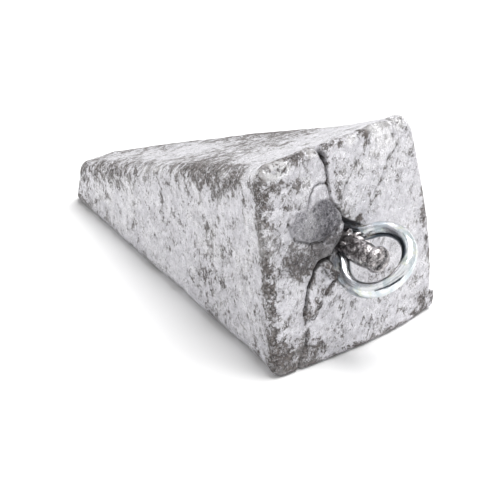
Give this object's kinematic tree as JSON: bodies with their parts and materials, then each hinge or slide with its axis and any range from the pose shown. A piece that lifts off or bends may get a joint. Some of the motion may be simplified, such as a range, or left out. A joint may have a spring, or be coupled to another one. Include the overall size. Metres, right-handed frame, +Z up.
{
  "type": "pyramid fishing sinker",
  "caption": "Square tapered cast lead fishing weight with a bent round-wire eye set in its wide end, lying on one long side.",
  "frame": {"origin": "on the flat long side that the sinker rests on, halfway along the casting", "axes": "+Z up, square to the side that it rests on; +Y from the wide end with the eye towards the blunt tip; +X to the right of someone who looks at the tip from the eye"},
  "size_m": [0.0215, 0.0505, 0.0206],
  "materials": {
    "cast_lead": "rough cast lead, pale grey with dark oxide specks",
    "zinc_wire": "bright galvanised steel wire"
  },
  "bodies": {
    "root": {"lead_body": "cast_lead", "wire_eye": "zinc_wire"}
  },
  "joints": []
}
